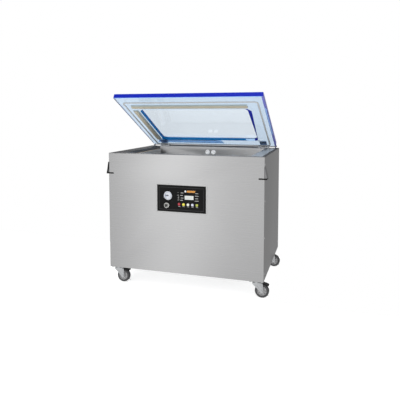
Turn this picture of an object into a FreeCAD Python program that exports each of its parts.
import FreeCAD, Part
import math
import os
from types import SimpleNamespace

import Sketcher
from FreeCAD import Placement, Rotation, Vector

# A floor-standing single-chamber vacuum packing machine. Millimetres, +X to the operator's right,
# +Y to the back, +Z up. The origin is on the floor under the middle of the cabinet.
# The lid is modelled in its open position, where the gas springs hold it.

DIMENSIONS = {
    # cabinet
    "cab_width": 1180, "cab_depth": 870, "floor_gap": 125, "rim_height": 1000, "skin": 2,
    "rim_plate": 3, "frame_bar": 40, "frame_wall": 3, "post_top": 900, "tray_plate": 3,
    "rail_one": 20, "rail_two": 300,
    # slots in the rear panel and in the floor sheet
    "louvre_left": -380, "louvre_right": 120, "louvre_long": 160, "louvre_low": 240,
    "louvre_tall": 10, "louvre_pitch": 25, "vent_left": 160, "vent_long": 200, "vent_front": -200,
    "vent_wide": 12, "vent_pitch": 40,
    # chamber
    "tub_half_width": 485, "tub_front": -390, "tub_back": 345, "tub_floor": 800, "tub_wall": 3,
    "tub_corner": 10, "slot_from": 370, "slot_to": 430, "slot_x": 562, "slot_half": 9,
    "port_left": -31, "port_right": 23, "port_level": 956, "port_flange": 20, "port_tube": 14,
    "port_hole": 10, "filler_left": -435, "filler_split": 7, "filler_right": 471, "filler_front": -316,
    "filler_back": 333, "filler_height": 40,
    # lid, in the frame of its hinge axis
    "lid_half_width": 569, "lid_front": -905, "lid_rear": -20, "lid_under": -9.7, "lid_thick": 38,
    "lid_corner": 6, "pocket_half": 428, "pocket_front": -710, "pocket_rear": -135,
    "pocket_deep": 22, "pocket_corner": 34, "hinge_y": 420, "hinge_z": 1016, "lid_open": 26.5,
    "gasket_half": 526, "gasket_front": -838, "gasket_rear": -31, "gasket_wide": 12,
    "gasket_tall": 6, "gasket_corner": 30,
    # counter bars on the lid, seal bars in the chamber
    "bar_wide": 30, "holder_wide": 44, "holder_tall": 8, "silicone_wide": 30, "silicone_tall": 6,
    "front_bar_y": -350, "front_bar_left": -470, "front_bar_right": 440,
    "left_bar_x": -463, "left_bar_front": -286, "left_bar_back": 266,
    "bar_top": 980.5, "bar_bottom": 937, "strip_wide": 12, "strip_tall": 1.5,
    "piston_rod": 8, "jack_radius": 20, "jack_top": 880, "rod_foot": 840, "run_gap": 0.06,
    # hinges and gas springs
    "hinge_x": 460, "arm_half": 30, "ear_thick": 12, "shaft_radius": 8, "shaft_end": 572,
    "lever_x": 562, "lever_half": 4, "lever_radius": 11, "lever_down_y": -35, "lever_down_z": -68,
    "spring_foot_y": 335, "spring_foot_z": 640, "gas_tube": 11, "gas_rod": 5, "gas_tube_long": 190,
    "spring_pin": 5, "rod_short": 14.5,
    # control panel
    "panel_left": -195, "panel_right": 175, "panel_low": 583, "panel_high": 777, "panel_thick": 5,
    "gauge_x": -111, "gauge_z": 700, "gauge_radius": 34, "gauge_deep": 30,
    "knob_x": -120, "knob_z": 629, "knob_radius": 19, "knob_tall": 13,
    "window_left": 17, "window_right": 84, "window_low": 677, "window_high": 706,
    "button_z": 641, "button_radius": 10, "button_proud": 5, "button_travel": 2.5,
    # corner grips
    "grip_low": 853, "grip_tall": 78, "grip_out": 17, "grip_long": 62, "lip_tall": 10,
    "grip_brow": 4, "grip_crown": 14, "lip_front": 40, "lip_thick": 3, "lip_edge": 4,
    # machinery
    "pump_left": -270, "pump_long": 360, "pump_front": -120, "pump_deep": 280, "pump_foot": 168,
    "pump_tall": 250, "motor_radius": 100, "motor_long": 270, "motor_z": 300, "motor_y": 20,
    "motor_shaft": 12, "fan_radius": 82, "mist_radius": 70, "mist_long": 340, "mist_lift": 30,
    "core_left": -470, "core_wide": 100, "core_half": 60, "core_tall": 110, "coil_inset": 20,
    "coil_half": 78, "coil_lift": 22,
    "hose_x": -4, "hose_y": 390, "hose_radius": 22, "hose_bend": 60, "hose_low": 360,
    "hose_top": 876, "valve_left": -70, "valve_right": 62, "valve_top": 985,
    "gland_x": 420, "gland_z": 260, "gland_hole": 5.5, "gland_radius": 12, "gland_long": 24,
    "inlet_x": 420, "inlet_z": 340, "inlet_pin": 6, "inlet_bore": 4, "inlet_long": 26,
    # casters
    "caster_x": 535, "caster_front_y": -385, "caster_rear_y": 290, "wheel_radius": 50,
    "wheel_half": 15, "trail": 38, "axle_radius": 6, "cheek_inner": 20, "cheek_outer": 24,
    "plate_half_x": 50, "plate_half_y": 42, "plate_thick": 4, "race_radius": 27, "race_tall": 3,
    "crown_top": 109, "crown_low": 103, "head_top": 117.7, "pedal_pin": 2.5,
}

doc = FreeCAD.newDocument("VacuumPackingMachine")
sheet = doc.addObject("Spreadsheet::Sheet", "Dims")
for row, (alias, number) in enumerate(DIMENSIONS.items(), start=1):
    sheet.set(f"A{row}", alias)
    sheet.set(f"B{row}", str(number))
    sheet.setAlias(f"B{row}", alias)
doc.recompute()


class Size:
    """A length that knows its value and the spreadsheet expression that gives it."""

    def __init__(self, value, text):
        self.value = value
        self.text = text

    def __add__(self, other):
        other = as_size(other)
        return Size(self.value + other.value, f"({self.text} + {other.text})")

    def __sub__(self, other):
        other = as_size(other)
        return Size(self.value - other.value, f"({self.text} - {other.text})")

    def __mul__(self, factor):
        return Size(self.value * factor, f"({self.text} * {factor})")

    def __truediv__(self, divisor):
        return Size(self.value / divisor, f"({self.text} / {divisor})")

    def __radd__(self, other):
        return as_size(other) + self

    def __rsub__(self, other):
        return as_size(other) - self

    def __rmul__(self, factor):
        return self * factor

    def __neg__(self):
        return self * -1


def as_size(number):
    return number if isinstance(number, Size) else Size(float(number), f"({number})")


d = SimpleNamespace(**{name: Size(float(sheet.get(name)), f"Dims.{name}") for name in DIMENSIONS})
nodes = {}


# ---------------------------------------------------------------- primitives and booleans

def bind(thing, field, length):
    thing.setExpression(field, as_size(length).text)


def block(name, x, y, z):
    """A box between two lengths on each axis."""
    solid = doc.addObject("Part::Box", name)
    for field, letter, (low, high) in (("Length", "x", x), ("Width", "y", y), ("Height", "z", z)):
        bind(solid, field, as_size(high) - low)
        bind(solid, f"Placement.Base.{letter}", low)
    return solid


TURN_TO = {"x": Rotation(Vector(0, 1, 0), 90), "y": Rotation(Vector(1, 0, 0), -90), "z": Rotation()}


def rod(name, axis, start, length, radius):
    """A cylinder from start, along +X, +Y or +Z."""
    solid = doc.addObject("Part::Cylinder", name)
    bind(solid, "Radius", radius)
    bind(solid, "Height", length)
    solid.Placement = Placement(Vector(), TURN_TO[axis])
    for letter, place in zip("xyz", start):
        bind(solid, f"Placement.Base.{letter}", place)
    return solid


def join(name, solids):
    fused = doc.addObject("Part::MultiFuse", name)
    fused.Shapes = solids
    return fused


def carve(name, base, tools):
    """The base with every tool cut away."""
    cut = doc.addObject("Part::Cut", name)
    cut.Base = base
    cut.Tool = tools[0] if len(tools) == 1 else join(f"{name}_tools", tools)
    return cut


def keep(name, base, x, y, z):
    """The part of the base inside a box."""
    common = doc.addObject("Part::Common", name)
    common.Base = base
    common.Tool = block(f"{name}_zone", x, y, z)
    return common


def node(name, thing, placement=None):
    """Name a finished sub-part."""
    thing.Label = name
    if placement is not None:
        thing.Placement = placement
    nodes[name] = thing
    return thing


# ---------------------------------------------------------------- bodies and sketches

def new_body(name):
    return doc.addObject("PartDesign::Body", name)


def new_sketch(body, role, name, lift=None):
    """A sketch on one of the body's own origin planes, lifted along the plane's normal."""
    sketch = body.newObject("Sketcher::SketchObject", name)
    plane = next(item for item in body.Origin.OriginFeatures if item.Role == role)
    sketch.AttachmentSupport = [(plane, "")]
    sketch.MapMode = "FlatFace"
    if lift is not None:
        bind(sketch, "AttachmentOffset.Base.z", lift)
    return sketch


def pin_point(sketch, geometry, end, x, y):
    """Hold one point of the sketch at x, y."""
    for kind, place in (("DistanceX", x), ("DistanceY", y)):
        place = as_size(place)
        index = sketch.addConstraint(Sketcher.Constraint(kind, -1, 1, geometry, end, place.value))
        sketch.setExpression(f"Constraints[{index}]", place.text)


def circle(sketch, x, y, radius):
    x, y, radius = as_size(x), as_size(y), as_size(radius)
    shape = Part.Circle(Vector(x.value, y.value, 0), Vector(0, 0, 1), radius.value)
    index = sketch.addGeometry(shape, False)
    pin_point(sketch, index, 3, x, y)
    limit = sketch.addConstraint(Sketcher.Constraint("Radius", index, radius.value))
    sketch.setExpression(f"Constraints[{limit}]", radius.text)


def polygon(sketch, points):
    """A closed outline of straight lines."""
    points = [(as_size(x), as_size(y)) for x, y in points]
    first = sketch.GeometryCount
    count = len(points)
    for here, there in zip(points, points[1:] + points[:1]):
        start = Vector(here[0].value, here[1].value, 0)
        end = Vector(there[0].value, there[1].value, 0)
        sketch.addGeometry(Part.LineSegment(start, end), False)
    for step in range(count):
        following = first + (step + 1) % count
        sketch.addConstraint(Sketcher.Constraint("Coincident", first + step, 2, following, 1))
    for step, (x, y) in enumerate(points):
        pin_point(sketch, first + step, 1, x, y)


def rectangle(sketch, x, y):
    polygon(sketch, [(x[0], y[0]), (x[1], y[0]), (x[1], y[1]), (x[0], y[1])])


def rounded_rectangle(sketch, x, y, radius):
    """Four straight sides joined by four quarter arcs, drawn anticlockwise."""
    x, y, radius = [as_size(v) for v in x], [as_size(v) for v in y], as_size(radius)
    ends = [
        ((x[0] + radius, y[0]), (x[1] - radius, y[0])),
        ((x[1], y[0] + radius), (x[1], y[1] - radius)),
        ((x[1] - radius, y[1]), (x[0] + radius, y[1])),
        ((x[0], y[1] - radius), (x[0], y[0] + radius)),
    ]
    centres = [(x[1] - radius, y[0] + radius), (x[1] - radius, y[1] - radius),
               (x[0] + radius, y[1] - radius), (x[0] + radius, y[0] + radius)]
    first = sketch.GeometryCount
    for corner, ((start, end), centre) in enumerate(zip(ends, centres)):
        side = Part.LineSegment(Vector(start[0].value, start[1].value, 0),
                                Vector(end[0].value, end[1].value, 0))
        ring = Part.Circle(Vector(centre[0].value, centre[1].value, 0), Vector(0, 0, 1), radius.value)
        turn = math.radians(90 * corner - 90)
        sketch.addGeometry(side, False)
        sketch.addGeometry(Part.ArcOfCircle(ring, turn, turn + math.pi / 2), False)
    for corner, (start, end) in enumerate(ends):
        side = first + 2 * corner
        following = first + (2 * corner + 2) % 8
        pin_point(sketch, side, 1, *start)
        pin_point(sketch, side, 2, *end)
        sketch.addConstraint(Sketcher.Constraint("Coincident", side, 2, side + 1, 1))
        sketch.addConstraint(Sketcher.Constraint("Coincident", side + 1, 2, following, 1))
        limit = sketch.addConstraint(Sketcher.Constraint("Radius", side + 1, radius.value))
        sketch.setExpression(f"Constraints[{limit}]", radius.text)


def finish_feature(body, feature, sketch):
    sketch.Visibility = False
    body.Tip = feature
    return feature


def pad(body, sketch, length, midplane=False, reversed_=False):
    feature = body.newObject("PartDesign::Pad", f"{sketch.Name}_pad")
    feature.Profile = sketch
    bind(feature, "Length", length)
    feature.Midplane = midplane
    feature.Reversed = reversed_
    return finish_feature(body, feature, sketch)


def pocket(body, sketch, length, midplane=False, reversed_=False):
    feature = body.newObject("PartDesign::Pocket", f"{sketch.Name}_pocket")
    feature.Profile = sketch
    bind(feature, "Length", length)
    feature.Midplane = midplane
    feature.Reversed = reversed_
    doc.recompute()
    before = feature.BaseFeature.Shape.Volume
    if feature.Shape.Volume > before - 1:
        raise RuntimeError(f"{feature.Name} removes nothing")
    return finish_feature(body, feature, sketch)


def revolve(body, sketch, axis="V_Axis"):
    feature = body.newObject("PartDesign::Revolution", f"{sketch.Name}_turn")
    feature.Profile = sketch
    feature.ReferenceAxis = (sketch, [axis])
    feature.Angle = 360
    return finish_feature(body, feature, sketch)


def round_upright_edges(body, radius):
    """Fillet the body's straight edges that run along Z."""
    doc.recompute()
    base = body.Tip
    names = []
    for number, edge in enumerate(base.Shape.Edges, start=1):
        if edge.Curve.TypeId == "Part::GeomLine" and abs(edge.Curve.Direction.z) > 0.999:
            names.append(f"Edge{number}")
    feature = body.newObject("PartDesign::Fillet", f"{base.Name}_fillet")
    feature.Base = (base, names)
    bind(feature, "Radius", radius)
    body.Tip = feature


SLOTS_IN_ROW = 10


def row_of_slots(body, role, lift, name, x, y, pitch, sheet_thick):
    """Equal slots through a sheet, stepping along the sketch's vertical axis."""
    slot = new_sketch(body, role, name, lift)
    rectangle(slot, x, y)
    first = pocket(body, slot, sheet_thick)
    slots = body.newObject("PartDesign::LinearPattern", f"{name}_row")
    slots.Originals = [first]
    slots.Direction = (slot, ["V_Axis"])
    bind(slots, "Length", pitch * (SLOTS_IN_ROW - 1))
    slots.Occurrences = SLOTS_IN_ROW
    body.Tip = slots


def across(side, near, far):
    """Two distances from the middle plane, taken to one side (-1 or 1), lowest first."""
    ends = (side * as_size(near), side * as_size(far))
    return ends if side > 0 else ends[::-1]


half_width = d.cab_width / 2
half_depth = d.cab_depth / 2
skin_top = d.rim_height - d.rim_plate
cabinet_floor = d.floor_gap + d.tray_plate


# ---------------------------------------------------------------- cabinet

def base_frame():
    """Channel bars round the floor of the cabinet, two bars under the pump, four angle posts."""
    inner_x = half_width - d.skin
    inner_y = half_depth - d.skin
    top = cabinet_floor + d.frame_bar
    bars = [
        ((-inner_x, inner_x), (-inner_y, d.frame_bar - inner_y)),
        ((-inner_x, inner_x), (inner_y - d.frame_bar, inner_y)),
        ((-inner_x, d.frame_bar - inner_x), (-inner_y, inner_y)),
        ((inner_x - d.frame_bar, inner_x), (-inner_y, inner_y)),
    ]
    for rail in (d.pump_left + d.rail_one, d.pump_left + d.rail_two):
        bars.append(((rail, rail + d.frame_bar), (-inner_y, inner_y)))
    wall = d.frame_wall
    outer = []
    hollow = []
    for number, (x, y) in enumerate(bars):
        outer.append(block(f"bar_{number}", x, y, (cabinet_floor, top)))
        inside_x = (x[0] + wall, x[1] - wall)
        inside_y = (y[0] + wall, y[1] - wall)
        hollow.append(block(f"channel_{number}", inside_x, inside_y, (cabinet_floor, top - wall)))
    for side in (-1, 1):
        for end in (-1, 1):
            x = across(side, inner_x - d.frame_bar, inner_x)
            y = across(end, inner_y - d.frame_bar, inner_y)
            gap_x = (x[0] + wall, x[1] + 1) if side < 0 else (x[0] - 1, x[1] - wall)
            gap_y = (y[0] + wall, y[1] + 1) if end < 0 else (y[0] - 1, y[1] - wall)
            tag = f"{side + 1}{end + 1}"
            outer.append(block(f"post_{tag}", x, y, (top - wall, d.post_top)))
            hollow.append(block(f"angle_{tag}", gap_x, gap_y, (top, d.post_top + 1)))
    node("base_frame", carve("base_frame", join("frame_bars", outer), hollow))


def chamber_tub():
    """Welded tub: a floor sheet, four walls, four bent corners, and a rim of four flat strips."""
    wall, turn = d.tub_wall, d.tub_corner + d.tub_wall
    x = (-d.tub_half_width - wall, d.tub_half_width + wall)
    y = (d.tub_front - wall, d.tub_back + wall)
    inner_x, inner_y = (x[0] + turn, x[1] - turn), (y[0] + turn, y[1] - turn)
    height = (d.tub_floor, d.rim_height)

    sole = new_body("tub_sole")
    outline = new_sketch(sole, "XY_Plane", "sole_outline", d.tub_floor - wall)
    rounded_rectangle(outline, x, y, turn)
    pad(sole, outline, wall)

    shell = new_body("tub_shell")
    outline = new_sketch(shell, "XY_Plane", "shell_outline", d.tub_floor)
    rounded_rectangle(outline, x, y, turn)
    pad(shell, outline, d.rim_height - d.tub_floor)
    hollow = new_sketch(shell, "XY_Plane", "shell_inside", d.rim_height)
    rounded_rectangle(hollow, (x[0] + wall, x[1] - wall), (y[0] + wall, y[1] - wall), d.tub_corner)
    pocket(shell, hollow, d.rim_height - d.tub_floor)
    ports = new_sketch(shell, "XZ_Plane", "port_holes", -d.tub_back - wall - 1)
    for port_x in (d.port_left, d.port_right):
        circle(ports, port_x, d.port_level, d.port_tube + 0.2)
    pocket(shell, ports, wall + 2, reversed_=True)

    rim = new_body("tub_rim")
    outline = new_sketch(rim, "XY_Plane", "rim_outline", skin_top)
    rectangle(outline, (-half_width, half_width), (-half_depth, half_depth))
    pad(rim, outline, d.rim_plate)
    mouth = new_sketch(rim, "XY_Plane", "rim_mouth", d.rim_height)
    rounded_rectangle(mouth, x, y, turn)
    pocket(rim, mouth, d.rim_plate)
    slots = new_sketch(rim, "XY_Plane", "lever_slots", d.rim_height)
    for side in (-1, 1):
        edges = across(side, d.slot_x - d.slot_half, d.slot_x + d.slot_half)
        rectangle(slots, edges, (d.slot_from, d.slot_to))
    pocket(rim, slots, d.rim_plate)

    parts = [sole]
    columns = (("left", (x[0], inner_x[0])), ("middle", inner_x), ("right", (inner_x[1], x[1])))
    rows = (("front", (y[0], inner_y[0])), ("middle", inner_y), ("rear", (inner_y[1], y[1])))
    for column, x_range in columns:
        for row, y_range in rows:
            if column == row:
                continue
            parts.append(keep(f"tub_{column}_{row}", shell, x_range, y_range, height))
    rim_z = (skin_top, d.rim_height)
    for tag, x_range, y_range in (
        ("front", (-half_width, half_width), (-half_depth, y[0])),
        ("rear", (-half_width, half_width), (y[1], half_depth)),
        ("left", (-half_width, inner_x[0]), y),
        ("right", (inner_x[1], half_width), y),
    ):
        parts.append(keep(f"rim_{tag}", rim, x_range, y_range, rim_z))
    tub = doc.addObject("Part::Compound", "tub_weldment")
    tub.Links = parts
    node("chamber_tub", tub)


def front_panel():
    """Flat sheet with a window behind the control panel."""
    body = new_body("front_panel")
    outline = new_sketch(body, "XZ_Plane", "front_outline", half_depth - d.skin)
    rectangle(outline, (-half_width, half_width), (d.floor_gap, skin_top))
    pad(body, outline, d.skin)
    window = new_sketch(body, "XZ_Plane", "front_window", half_depth)
    rectangle(window, (d.panel_left + 14, d.panel_right - 14), (d.panel_low + 14, d.panel_high - 14))
    pocket(body, window, d.skin)
    node("front_panel", body)


def rear_panel():
    """Flat sheet with two rows of cooling louvres, a gland hole and an inlet hole."""
    body = new_body("rear_panel")
    outline = new_sketch(body, "XZ_Plane", "rear_outline", -half_depth)
    rectangle(outline, (-half_width, half_width), (d.floor_gap, skin_top))
    pad(body, outline, d.skin)
    louvre_z = (d.louvre_low, d.louvre_low + d.louvre_tall)
    for tag, start in (("left", d.louvre_left), ("right", d.louvre_right)):
        row_of_slots(body, "XZ_Plane", d.skin - half_depth, f"louvre_{tag}",
                     (start, start + d.louvre_long), louvre_z, d.louvre_pitch, d.skin)
    holes = new_sketch(body, "XZ_Plane", "rear_holes", d.skin - half_depth)
    circle(holes, d.gland_x, d.gland_z, d.gland_radius - 3.8)
    circle(holes, d.inlet_x, d.inlet_z, d.inlet_pin + 2.2)
    pocket(body, holes, d.skin)
    node("rear_panel", body)


def side_panels():
    """Two flat sheets between the front and rear panels."""
    for name, side in (("left_side_panel", -1), ("right_side_panel", 1)):
        x = across(side, half_width - d.skin, half_width)
        y = (d.skin - half_depth, half_depth - d.skin)
        node(name, block(name, x, y, (d.floor_gap, skin_top)))


def bottom_tray():
    """Floor sheet with rows of cooling slots."""
    body = new_body("bottom_tray")
    inner_x = half_width - d.skin
    inner_y = half_depth - d.skin
    outline = new_sketch(body, "XY_Plane", "tray_outline", d.floor_gap)
    rectangle(outline, (-inner_x, inner_x), (-inner_y, inner_y))
    pad(body, outline, d.tray_plate)
    row_of_slots(body, "XY_Plane", cabinet_floor, "vent", (d.vent_left, d.vent_left + d.vent_long),
                 (d.vent_front, d.vent_front + d.vent_wide), d.vent_pitch, d.tray_plate)
    node("bottom_tray", body)


def corner_grips():
    """Folded hoods that stand out at the cabinet's front corners, with soft lips on their edges."""
    front = -half_depth
    hoods = []
    lips = []
    low = d.grip_low - d.lip_tall
    for name, side in (("left", -1), ("right", 1)):
        body = new_body(f"{name}_grip")
        profile = new_sketch(body, "XZ_Plane", f"{name}_grip_profile", half_depth)
        wall_x = side * half_width
        out_x = side * (half_width + d.grip_out)
        polygon(profile, [(wall_x, d.grip_low), (out_x, d.grip_low),
                          (out_x, d.grip_low + d.grip_brow), (wall_x, d.grip_low + d.grip_tall)])
        pad(body, profile, d.grip_long, reversed_=True)
        under = new_sketch(body, "XZ_Plane", f"{name}_grip_inside", half_depth - d.skin)
        inside_x = out_x - side * d.skin
        polygon(under, [(wall_x, d.grip_low), (inside_x, d.grip_low),
                        (inside_x, d.grip_low + d.grip_brow - d.skin),
                        (wall_x, d.grip_low + d.grip_tall - d.grip_crown)])
        pocket(body, under, d.grip_long - d.skin * 2)
        hoods.append(body)
        edge_x = across(side, half_width, half_width + d.grip_out)
        side_lip = block(f"{name}_lip_side", edge_x, (front, front + d.grip_long), (low, d.grip_low))
        front_x = across(side, half_width - d.lip_front, half_width + d.grip_out)
        front_lip = block(f"{name}_lip_front", front_x, (front - d.lip_thick, front), (low, d.grip_low))
        inner_x = across(side, half_width, half_width + d.grip_out - d.lip_edge)
        gap = block(f"{name}_lip_gap", inner_x, (front + d.lip_edge, front + d.grip_long + 1),
                    (low - 1, d.grip_low + 1))
        lips.append(carve(f"{name}_lip", join(f"{name}_lip_bars", [side_lip, front_lip]), [gap]))
    node("corner_grips", join("corner_grips", hoods))
    node("grip_lips", join("grip_lips", lips))


def machinery():
    """Vacuum pump set, exhaust filter, hose, valve block, transformer and the rear connections."""
    pump_right = d.pump_left + d.pump_long
    pump_back = d.pump_front + d.pump_deep
    pump_top = d.pump_foot + d.pump_tall
    body = new_body("vacuum_pump")
    outline = new_sketch(body, "XY_Plane", "pump_outline", d.pump_foot)
    rectangle(outline, (d.pump_left, pump_right), (d.pump_front, pump_back))
    pad(body, outline, d.pump_tall)
    round_upright_edges(body, 18)
    crankcase = new_sketch(body, "XY_Plane", "pump_inside", d.pump_foot)
    rectangle(crankcase, (d.pump_left + 28, pump_right - 70), (d.pump_front + 28, pump_back - 28))
    pocket(body, crankcase, d.pump_tall - 35, reversed_=True)
    bore = new_sketch(body, "YZ_Plane", "pump_shaft_hole", pump_right)
    circle(bore, d.motor_y, d.motor_z, d.motor_shaft + 3)
    pocket(body, bore, 60)
    node("vacuum_pump", body)

    # The motor's axis runs along X: its profile is turned round the sketch's own axis.
    motor = new_body("pump_motor")
    profile = new_sketch(motor, "XZ_Plane", "motor_profile")
    shaft = d.motor_shaft + 0.5
    end = d.motor_long
    polygon(profile, [(0, shaft), (0, d.motor_radius), (end, d.motor_radius), (end, 60),
                      (end - 3, 60), (end - 3, d.motor_radius - 4), (end - 56, d.motor_radius - 4),
                      (end - 56, shaft)])
    revolve(motor, profile, "H_Axis")
    node("pump_motor", motor, Placement(
        Vector(pump_right.value, d.motor_y.value, d.motor_z.value), Rotation()))

    fan = new_body("motor_fan")
    fan_profile = new_sketch(fan, "XZ_Plane", "fan_profile")
    polygon(fan_profile, [(-40, 0), (-40, d.motor_shaft), (end - 50, d.motor_shaft),
                          (end - 50, d.fan_radius), (end - 44, d.fan_radius), (end - 44, 30),
                          (end - 12, 26), (end - 12, 0)])
    revolve(fan, fan_profile, "H_Axis")
    blade = new_sketch(fan, "YZ_Plane", "fan_blade", end - 46)
    rectangle(blade, (-2, 2), (28, d.fan_radius - 3))
    first = pad(fan, blade, 30)
    blades = fan.newObject("PartDesign::PolarPattern", "fan_blades")
    blades.Originals = [first]
    blades.Axis = (fan_profile, ["H_Axis"])
    blades.Angle = 360
    blades.Occurrences = 7
    fan.Tip = blades
    node("motor_fan", fan, Placement(
        Vector(pump_right.value, d.motor_y.value, d.motor_z.value), Rotation()))

    mist_z = pump_top + d.mist_lift + d.mist_radius
    mist = [
        rod("mist_tank", "x", (d.pump_left, d.motor_y, mist_z), d.mist_long, d.mist_radius),
        block("mist_neck", (d.pump_left + 120, d.pump_left + 200), (d.motor_y - 40, d.motor_y + 40),
              (pump_top, mist_z)),
        rod("mist_cap", "x", (d.pump_left - 14, d.motor_y, mist_z), 14, d.mist_radius + 8),
    ]
    node("oil_mist_filter", join("oil_mist_filter", mist))

    elbow = doc.addObject("Part::Torus", "hose_elbow")
    bind(elbow, "Radius1", d.hose_bend)
    bind(elbow, "Radius2", d.hose_radius)
    elbow.Angle3 = 90
    elbow.Placement = Placement(Vector(d.hose_x.value, (d.hose_y - d.hose_bend).value, d.hose_low.value),
                                Rotation(Vector(0, 1, 0), Vector(0, 0, -1), Vector(-1, 0, 0), "XYZ"))
    low_z = d.hose_low - d.hose_bend
    hose = [
        rod("hose_rise", "z", (d.hose_x, d.hose_y, d.hose_low), d.hose_top - d.hose_low, d.hose_radius),
        elbow,
        rod("hose_run", "y", (d.hose_x, pump_back, low_z), d.hose_y - d.hose_bend - pump_back,
            d.hose_radius),
    ]
    node("vacuum_hose", join("vacuum_hose", hose))

    valve = block("valve_body", (d.valve_left, d.valve_right), (d.tub_back + 6, half_depth - 12),
                  (d.hose_top, d.valve_top))
    drillings = [rod(f"valve_way_{tag}", "y", (x, d.tub_back, d.port_level), 30, d.port_hole)
                 for tag, x in (("left", d.port_left), ("right", d.port_right))]
    node("valve_block", carve("valve_block", valve, drillings))

    core_right = d.core_left + d.core_wide
    core_top = d.pump_foot + d.core_tall
    core = block("transformer_core", (d.core_left, core_right), (-d.core_half, d.core_half),
                 (d.pump_foot, core_top))
    coils = block("transformer_coils", (d.core_left + d.coil_inset, core_right - d.coil_inset),
                  (-d.coil_half, d.coil_half), (d.pump_foot + d.coil_lift, core_top - d.coil_lift))
    node("transformer", join("transformer", [core, coils]))

    back = half_depth
    nut = rod("gland_nut", "y", (d.gland_x, back, d.gland_z), d.gland_long, d.gland_radius)
    neck = rod("gland_neck", "y", (d.gland_x, back - 14, d.gland_z), 14, d.gland_radius - 4)
    lock_nut = rod("gland_lock_nut", "y", (d.gland_x, back - 10, d.gland_z), 8, d.gland_radius)
    way = rod("gland_way", "y", (d.gland_x, back - 20, d.gland_z), d.gland_long + 30, d.gland_hole)
    node("cable_gland", carve("cable_gland", join("gland_body", [nut, neck, lock_nut]), [way]))

    collar = rod("inlet_collar", "y", (d.inlet_x, back, d.inlet_z), 4, d.inlet_pin + 7)
    stem = rod("inlet_stem", "y", (d.inlet_x, back - 16, d.inlet_z), 16, d.inlet_pin + 2)
    tail = rod("inlet_tail", "y", (d.inlet_x, back, d.inlet_z), d.inlet_long + 4, d.inlet_pin)
    duct = rod("inlet_duct", "y", (d.inlet_x, back - 20, d.inlet_z), d.inlet_long + 30, d.inlet_bore)
    node("gas_inlet", carve("gas_inlet", join("inlet_body", [collar, stem, tail]), [duct]))


# ---------------------------------------------------------------- chamber contents

def chamber_contents():
    """White filler plates, vacuum ports, and the air jacks that lift the seal bars."""
    base = d.tub_floor
    plates = []
    for tag, x in (("left", (d.filler_left, d.filler_split - 2)),
                   ("right", (d.filler_split + 2, d.filler_right))):
        plates.append(block(f"filler_{tag}", x, (d.filler_front, d.filler_back),
                            (base, base + d.filler_height)))
    node("filler_plates", join("filler_plates", plates))

    rings = []
    holes = []
    for tag, x in (("left", d.port_left), ("right", d.port_right)):
        rings.append(rod(f"port_flange_{tag}", "y", (x, d.tub_back - 4, d.port_level), 4, d.port_flange))
        rings.append(rod(f"port_tube_{tag}", "y", (x, d.tub_back - 4, d.port_level), 10, d.port_tube))
        holes.append(rod(f"port_way_{tag}", "y", (x, d.tub_back - 6, d.port_level), 14, d.port_hole))
    node("vacuum_ports", carve("vacuum_ports", join("port_rings", rings), holes))

    jacks = []
    bores = []
    for tag, (x, y) in jack_places().items():
        jacks.append(rod(f"jack_{tag}", "z", (x, y, base), d.jack_top - base, d.jack_radius))
        bores.append(rod(f"jack_bore_{tag}", "z", (x, y, d.rod_foot - 8), 60,
                         d.piston_rod + d.run_gap))
    node("seal_cylinders", carve("seal_cylinders", join("jack_tubes", jacks), bores))


def jack_places():
    """Centres of the four jacks: two under each seal bar."""
    return {
        "front_left": (d.front_bar_left + 170, d.front_bar_y),
        "front_right": (d.front_bar_right - 170, d.front_bar_y),
        "side_front": (d.left_bar_x + 6, d.left_bar_front + 110),
        "side_back": (d.left_bar_x + 6, d.left_bar_back - 110),
    }


def seal_bar(name, x, y, jacks):
    """A seal bar on two piston rods, and its heating strip under non-stick tape."""
    places = jack_places()
    solids = [block(f"{name}_rail", x, y, (d.bar_bottom, d.bar_top))]
    for tag in jacks:
        place = (*places[tag], d.rod_foot)
        solids.append(rod(f"{name}_rod_{tag}", "z", place, d.bar_bottom - d.rod_foot, d.piston_rod))
    node(name, join(name, solids))


def seal_bars():
    half = d.bar_wide / 2
    strip = d.strip_wide / 2
    strip_z = (d.bar_top, d.bar_top + d.strip_tall)
    front_x = (d.front_bar_left, d.front_bar_right)
    seal_bar("front_seal_bar", front_x, (d.front_bar_y - half, d.front_bar_y + half),
             ("front_left", "front_right"))
    node("front_seal_strip", block("front_seal_strip", front_x,
                                   (d.front_bar_y - strip, d.front_bar_y + strip), strip_z))
    side_y = (d.left_bar_front, d.left_bar_back)
    seal_bar("left_seal_bar", (d.left_bar_x - half, d.left_bar_x + half), side_y,
             ("side_front", "side_back"))
    node("left_seal_strip", block("left_seal_strip", (d.left_bar_x - strip, d.left_bar_x + strip),
                                  side_y, strip_z))


# ---------------------------------------------------------------- lid

LID_OPEN = Placement(Vector(0, d.hinge_y.value, d.hinge_z.value),
                     Rotation(Vector(1, 0, 0), -d.lid_open.value))


def lid_plate():
    """Thick clear plate with a pocket milled into its underside."""
    body = new_body("lid_plate")
    outline = new_sketch(body, "XY_Plane", "lid_outline", d.lid_under)
    rounded_rectangle(outline, (-d.lid_half_width, d.lid_half_width), (d.lid_front, d.lid_rear),
                      d.lid_corner)
    pad(body, outline, d.lid_thick)
    hollow = new_sketch(body, "XY_Plane", "lid_pocket", d.lid_under)
    rounded_rectangle(hollow, (-d.pocket_half, d.pocket_half), (d.pocket_front, d.pocket_rear),
                      d.pocket_corner)
    pocket(body, hollow, d.pocket_deep, reversed_=True)
    node("lid_plate", body, LID_OPEN)


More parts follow.
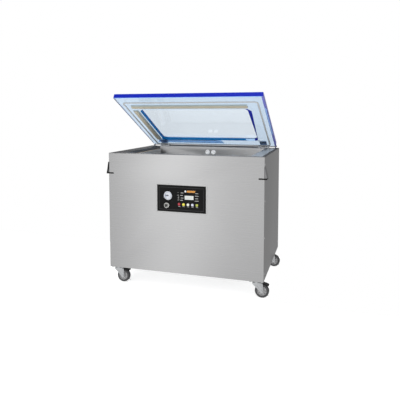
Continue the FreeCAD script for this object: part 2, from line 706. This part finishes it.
def lid_gasket():
    """Rubber frame that seals the lid on the rim."""
    body = new_body("lid_gasket")
    outline = new_sketch(body, "XY_Plane", "gasket_outline", d.lid_under)
    rounded_rectangle(outline, (-d.gasket_half, d.gasket_half), (d.gasket_front, d.gasket_rear),
                      d.gasket_corner)
    wide = d.gasket_wide
    rounded_rectangle(outline, (wide - d.gasket_half, d.gasket_half - wide),
                      (d.gasket_front + wide, d.gasket_rear - wide), d.gasket_corner - wide)
    pad(body, outline, d.gasket_tall, reversed_=True)
    node("lid_gasket", body, LID_OPEN)


def counter_bars():
    """Silicone bars in holders on the lid's underside, over the two seal bars."""
    holder_low = d.lid_under - d.holder_tall
    runs = (
        ("front", (d.front_bar_left, d.front_bar_right), None, d.front_bar_y - d.hinge_y),
        ("left", None, (d.left_bar_front - d.hinge_y, d.left_bar_back - d.hinge_y), d.left_bar_x),
    )
    holders = []
    pads = []
    for tag, along_x, along_y, middle in runs:
        for wide, z, group, word in (
            (d.holder_wide / 2, (holder_low, d.lid_under), holders, "holder"),
            (d.silicone_wide / 2, (holder_low - d.silicone_tall, holder_low), pads, "silicone"),
        ):
            x = along_x or (middle - wide, middle + wide)
            y = along_y or (middle - wide, middle + wide)
            group.append(block(f"{tag}_{word}", x, y, z))
    node("counter_bar_holders", join("counter_bar_holders", holders), LID_OPEN)
    node("counter_bars", join("counter_bars", pads), LID_OPEN)


def hinge_arms():
    """Steel arms that clamp the lid's rear edge and turn on two shafts."""
    top = d.lid_under + d.lid_thick
    arms = []
    bores = []
    for tag, side in (("left", -1), ("right", 1)):
        middle = side * d.hinge_x
        x = (middle - d.arm_half, middle + d.arm_half)
        arms.append(block(f"arm_heel_{tag}", x, (d.lid_rear, 12), (d.lid_under + 0.7, top + 6)))
        arms.append(block(f"arm_strap_{tag}", x, (d.lid_rear - 75, d.lid_rear), (top, top + 6)))
        bores.append(rod(f"arm_bore_{tag}", "x", (middle - d.arm_half - 1, 0, 0),
                         d.arm_half * 2 + 2, d.shaft_radius))
    node("lid_hinge_arms", carve("lid_hinge_arms", join("arm_blanks", arms), bores), LID_OPEN)


def hinge_shafts():
    """Two shafts, each with a crank lever that dips through the rim to its gas spring."""
    solids = []
    pins = []
    for tag, side in (("left", -1), ("right", 1)):
        inner = d.hinge_x - d.arm_half - d.ear_thick - 6
        start = inner if side > 0 else -d.shaft_end
        solids.append(rod(f"shaft_{tag}", "x", (start, 0, 0), d.shaft_end - inner, d.shaft_radius))
        solids.append(crank_lever(tag, side))
        pin_x = side * d.lever_x
        pins.append(rod(f"lever_hole_{tag}", "x", (pin_x - 10, d.lever_down_y, d.lever_down_z), 20,
                        d.spring_pin))
    node("hinge_shafts", carve("hinge_shafts", join("shaft_blanks", solids), pins), LID_OPEN)


def crank_lever(tag, side):
    """A flat lever with round ends, from the hinge axis to the gas spring's pin."""
    body = new_body(f"crank_{tag}")
    profile = new_sketch(body, "YZ_Plane", f"crank_profile_{tag}",
                         side * d.lever_x - d.lever_half)
    reach = math.hypot(d.lever_down_y.value, d.lever_down_z.value)
    side_y = -d.lever_down_z * (1 / reach)
    side_z = d.lever_down_y * (1 / reach)
    half = d.lever_radius.value * 0.98
    polygon(profile, [
        (side_y * half, side_z * half),
        (d.lever_down_y + side_y * half, d.lever_down_z + side_z * half),
        (d.lever_down_y - side_y * half, d.lever_down_z - side_z * half),
        (-side_y * half, -side_z * half),
    ])
    pad(body, profile, d.lever_half * 2)
    for word, y, z in (("top", 0, 0), ("foot", d.lever_down_y, d.lever_down_z)):
        end = new_sketch(body, "YZ_Plane", f"crank_{word}_{tag}", side * d.lever_x - d.lever_half)
        circle(end, y, z, d.lever_radius)
        pad(body, end, d.lever_half * 2)
    return body


def hinge_blocks():
    """Eared blocks on the rear rim that carry the lid's shafts."""
    solids = []
    bores = []
    front = d.hinge_y - 13
    for tag, side in (("left", -1), ("right", 1)):
        middle = side * d.hinge_x
        outer = d.arm_half + d.ear_thick + 2
        for word, low, high in (("in", -outer, -d.arm_half - 2), ("out", d.arm_half + 2, outer)):
            solids.append(block(f"ear_{tag}_{word}", (middle + low, middle + high),
                                (front, d.hinge_y + 13), (d.rim_height, d.hinge_z + 14)))
        solids.append(block(f"foot_{tag}", (middle - outer, middle + outer),
                            (front, d.hinge_y + 13), (d.rim_height, d.rim_height + 1.5)))
        bores.append(rod(f"ear_bore_{tag}", "x", (middle - outer - 1, d.hinge_y, d.hinge_z),
                         outer * 2 + 2, d.shaft_radius + d.run_gap))
    node("hinge_blocks", carve("hinge_blocks", join("hinge_blanks", solids), bores))


# ---------------------------------------------------------------- gas springs

def gas_springs():
    """Cylinders pivoted on brackets in the side gaps, rods reaching up to the crank levers."""
    end = LID_OPEN.multVec(Vector(0, d.lever_down_y.value, d.lever_down_z.value))
    foot = Vector(0, d.spring_foot_y.value, d.spring_foot_z.value)
    reach = (end - foot).Length
    lean = math.degrees(math.atan2(end.y - foot.y, end.z - foot.z))
    for tag, side in (("left", -1), ("right", 1)):
        place = Placement(Vector((side * d.lever_x).value, foot.y, foot.z),
                          Rotation(Vector(1, 0, 0), -lean))
        tube = new_body(f"{tag}_gas_cylinder")
        profile = new_sketch(tube, "XZ_Plane", f"{tag}_gas_profile")
        bore = d.gas_rod + d.run_gap
        polygon(profile, [(0, -9), (8, -9), (8, 9), (d.gas_tube, 14), (d.gas_tube, d.gas_tube_long),
                          (bore, d.gas_tube_long), (bore, 40), (0, 40)])
        revolve(tube, profile)
        eye = new_sketch(tube, "YZ_Plane", f"{tag}_gas_eye", -10)
        circle(eye, 0, 0, d.spring_pin + d.run_gap)
        pocket(tube, eye, 20, reversed_=True)
        node(f"{tag}_gas_cylinder", tube, place)

        stem = new_body(f"{tag}_gas_rod")
        line = new_sketch(stem, "XZ_Plane", f"{tag}_rod_profile")
        tip = reach - d.rod_short.value
        polygon(line, [(0, 90), (d.gas_rod, 90), (d.gas_rod, tip - 12), (8, tip - 10), (8, tip), (0, tip)])
        revolve(stem, line)
        node(f"{tag}_gas_rod", stem, place)

    brackets = []
    for tag, side in (("left", -1), ("right", 1)):
        x = across(side, d.lever_x - 13, half_width - d.skin)
        brackets.append(rod(f"spring_pin_{tag}", "x", (x[0], d.spring_foot_y, d.spring_foot_z),
                            x[1] - x[0], d.spring_pin))
        plate_x = across(side, half_width - d.skin - 6, half_width - d.skin)
        brackets.append(block(f"spring_plate_{tag}", plate_x,
                              (d.spring_foot_y - 25, d.spring_foot_y + 25),
                              (d.spring_foot_z - 35, d.spring_foot_z + 35)))
    node("gas_spring_brackets", join("gas_spring_brackets", brackets))


# ---------------------------------------------------------------- control panel

BUTTONS = {"stop_button": -25, "vacuum_button": 9, "seal_button": 43, "cool_button": 76, "set_button": 110}


def control_panel():
    """Black fascia with its openings, and the board behind it."""
    front = half_depth + d.panel_thick
    body = new_body("control_panel")
    outline = new_sketch(body, "XZ_Plane", "panel_outline", half_depth)
    rectangle(outline, (d.panel_left, d.panel_right), (d.panel_low, d.panel_high))
    pad(body, outline, d.panel_thick)
    openings = new_sketch(body, "XZ_Plane", "panel_openings", front)
    circle(openings, d.gauge_x, d.gauge_z, d.gauge_radius + 0.3)
    circle(openings, d.knob_x, d.knob_z, 5.3)
    for x in BUTTONS.values():
        circle(openings, x, d.button_z, d.button_radius + 0.4)
    rectangle(openings, (d.window_left, d.window_right), (d.window_low, d.window_high))
    pocket(body, openings, d.panel_thick)
    node("control_panel", body)

    board = block("board_plate", (d.panel_left + 132, d.panel_right - 20),
                  (-half_depth + 24, -half_depth + 34), (d.panel_low + 20, d.panel_high - 20))
    node("control_board", board)

    node("display_window", block("display_window", (d.window_left, d.window_right),
                                 (-front, 2 - half_depth), (d.window_low, d.window_high)))


def gauge():
    """Round vacuum gauge: cup with its dial, needle on an arbor, and glass."""
    front = -half_depth - d.panel_thick
    cup = new_body("gauge_case")
    profile = new_sketch(cup, "XY_Plane", "gauge_profile")
    rim = 6
    polygon(profile, [(2.1, d.gauge_deep - 4), (2.1, 8), (d.gauge_radius - 4, 8),
                      (d.gauge_radius - 4, -rim), (d.gauge_radius, -rim),
                      (d.gauge_radius, d.gauge_deep), (0, d.gauge_deep), (0, d.gauge_deep - 4)])
    revolve(cup, profile)
    place = Placement(Vector(d.gauge_x.value, front.value, d.gauge_z.value), Rotation())
    node("gauge_case", cup, place)

    needle = new_body("gauge_needle")
    arbor = new_sketch(needle, "XY_Plane", "arbor_profile")
    polygon(arbor, [(0, 1), (4, 1), (4, 4), (2, 4), (2, d.gauge_deep - 6), (0, d.gauge_deep - 6)])
    revolve(needle, arbor)
    pointer = new_sketch(needle, "XZ_Plane", "pointer_outline", -3.5)
    polygon(pointer, [(1.6, 7), (-24, 1), (-24, -1), (-1, -6)])
    pad(needle, pointer, 1.5)
    node("gauge_needle", needle, place)

    glass_y = front - rim + 1
    node("gauge_glass", rod("gauge_glass", "y", (d.gauge_x, glass_y, d.gauge_z), 2.5,
                            d.gauge_radius - 4))


def knob():
    """Round selector knob with a ridge across its face, on a shaft through the panel."""
    body = new_body("mode_knob")
    profile = new_sketch(body, "XY_Plane", "knob_profile")
    tall = d.knob_tall
    polygon(profile, [(0, 14), (5, 14), (5, -0.5), (d.knob_radius, -0.5), (d.knob_radius, 2 - tall),
                      (d.knob_radius - 2, -tall), (0, -tall)])
    revolve(body, profile)
    ridge = new_sketch(body, "XZ_Plane", "knob_ridge", tall)
    rectangle(ridge, (-3, 3), (4 - d.knob_radius, d.knob_radius - 4))
    pad(body, ridge, 3)
    node("mode_knob", body, Placement(
        Vector(d.knob_x.value, (-half_depth - d.panel_thick).value, d.knob_z.value), Rotation()))


def buttons():
    """Round push buttons, each a cap on a stem that slides in the panel."""
    for name, x in BUTTONS.items():
        body = new_body(name)
        profile = new_sketch(body, "XY_Plane", f"{name}_profile")
        proud = d.button_proud
        polygon(profile, [(0, 14), (4, 14), (4, 8.5), (d.button_radius, 8.5),
                          (d.button_radius, 1.2 - proud), (d.button_radius - 1.2, -proud), (0, -proud)])
        revolve(body, profile)
        node(name, body, Placement(
            Vector(x, (-half_depth - d.panel_thick).value, d.button_z.value), Rotation()))


# ---------------------------------------------------------------- casters

CASTERS = {
    "front_left": (-d.caster_x, d.caster_front_y, True),
    "front_right": (d.caster_x, d.caster_front_y, True),
    "rear_left": (-d.caster_x, d.caster_rear_y, False),
    "rear_right": (d.caster_x, d.caster_rear_y, False),
}


def caster_plates():
    """Four bolted plates with the upper race of each swivel."""
    body = new_body("caster_plates")
    outline = new_sketch(body, "XY_Plane", "plate_outlines", d.floor_gap - d.plate_thick)
    for x, y, _ in CASTERS.values():
        rectangle(outline, (x - d.plate_half_x, x + d.plate_half_x),
                  (y - d.plate_half_y, y + d.plate_half_y))
        for side in (-1, 1):
            for end in (-1, 1):
                circle(outline, x + side * 40, y + end * 32, 4.5)
    pad(body, outline, d.plate_thick)
    races = new_sketch(body, "XY_Plane", "races", d.floor_gap - d.plate_thick)
    for x, y, _ in CASTERS.values():
        circle(races, x, y, d.race_radius)
    pad(body, races, d.race_tall, reversed_=True)
    node("caster_plates", body)


def caster(tag, x, y, braked):
    """One swivel fork with its axle, one wheel, and a brake pedal on the braked casters."""
    place = Placement(Vector(x.value, y.value, 0), Rotation())
    axle_z = d.wheel_radius
    fork = new_body(f"{tag}_fork")
    cheeks = new_sketch(fork, "XZ_Plane", f"{tag}_cheeks")
    polygon(cheeks, [(-28, d.crown_top), (44, d.crown_top), (46, 100), (d.trail + 13, axle_z),
                     (d.trail + 8, axle_z - 11), (d.trail - 8, axle_z - 11), (d.trail - 14, axle_z),
                     (-20, 92), (-28, 100)])
    pad(fork, cheeks, d.cheek_outer * 2, midplane=True)
    gap = new_sketch(fork, "XZ_Plane", f"{tag}_fork_gap")
    polygon(gap, [(-40, 20), (-40, d.crown_low), (30, d.crown_low), (30, 120), (80, 120), (80, 20)])
    pocket(fork, gap, d.cheek_inner * 2, midplane=True)
    head = new_sketch(fork, "XY_Plane", f"{tag}_head", d.crown_top - 1)
    circle(head, 0, 0, 24)
    pad(fork, head, d.head_top - d.crown_top + 1)
    if braked:
        hole = new_sketch(fork, "XZ_Plane", f"{tag}_pedal_hole")
        circle(hole, d.trail, 105.5, d.pedal_pin + d.run_gap)
        pocket(fork, hole, 80, midplane=True)
    axle = new_sketch(fork, "XZ_Plane", f"{tag}_axle")
    circle(axle, d.trail, axle_z, d.axle_radius)
    pad(fork, axle, d.cheek_outer * 2 + 10, midplane=True)
    node(f"{tag}_fork", fork, place)

    # The wheel's profile is drawn from its axle outwards, so the axis is the sketch's V axis.
    wheel = new_body(f"{tag}_wheel")
    rim = new_sketch(wheel, "XY_Plane", f"{tag}_wheel_profile")
    half = d.wheel_half
    bore = d.axle_radius + d.run_gap
    polygon(rim, [(bore, 2 - d.cheek_inner), (14, 2 - d.cheek_inner), (15, 4 - half), (31, 4 - half),
                  (33, -half), (d.wheel_radius - 4, -half), (d.wheel_radius - 1, 3 - half),
                  (d.wheel_radius, 7 - half), (d.wheel_radius, half - 7), (d.wheel_radius - 1, half - 3),
                  (d.wheel_radius - 4, half), (33, half), (31, half - 4), (15, half - 4),
                  (14, d.cheek_inner - 2), (bore, d.cheek_inner - 2)])
    revolve(wheel, rim)
    node(f"{tag}_wheel", wheel, Placement(
        Vector(x.value + d.trail.value, y.value, axle_z.value), Rotation()))

    if braked:
        pedal = new_body(f"{tag}_pedal")
        tread = new_sketch(pedal, "XZ_Plane", f"{tag}_pedal_profile")
        polygon(tread, [(d.trail - 4, 104), (d.trail + 4, 102.4), (d.trail + 22, 99.5),
                        (d.trail + 46, 91), (d.trail + 50, 92.5), (d.trail + 48, 97),
                        (d.trail + 26, 104.5), (d.trail + 6, 108.5), (d.trail - 4, 108.5)])
        pad(pedal, tread, d.cheek_inner * 2 - 4, midplane=True)
        pin = new_sketch(pedal, "XZ_Plane", f"{tag}_pedal_pin")
        circle(pin, d.trail, 105.5, d.pedal_pin)
        pad(pedal, pin, d.cheek_outer * 2, midplane=True)
        node(f"{tag}_pedal", pedal, place)


base_frame()
chamber_tub()
front_panel()
rear_panel()
side_panels()
bottom_tray()
corner_grips()
machinery()
chamber_contents()
seal_bars()
lid_plate()
lid_gasket()
counter_bars()
hinge_arms()
hinge_shafts()
hinge_blocks()
gas_springs()
control_panel()
gauge()
knob()
buttons()
caster_plates()
for caster_name, (caster_x, caster_y, has_brake) in CASTERS.items():
    caster(caster_name, caster_x, caster_y, has_brake)

doc.recompute()
for thing in doc.Objects:
    if "Invalid" in thing.State or "Error" in thing.State:
        raise RuntimeError(f"{thing.Name} is {thing.State}")
for name, thing in nodes.items():
    if thing.Shape.isNull() or not thing.Shape.isValid():
        raise RuntimeError(f"{name} has no valid shape")

os.makedirs("parts", exist_ok=True)
for name, thing in nodes.items():
    thing.Shape.exportStep(f"parts/{name}.step")
print(len(nodes), "sub-parts written")
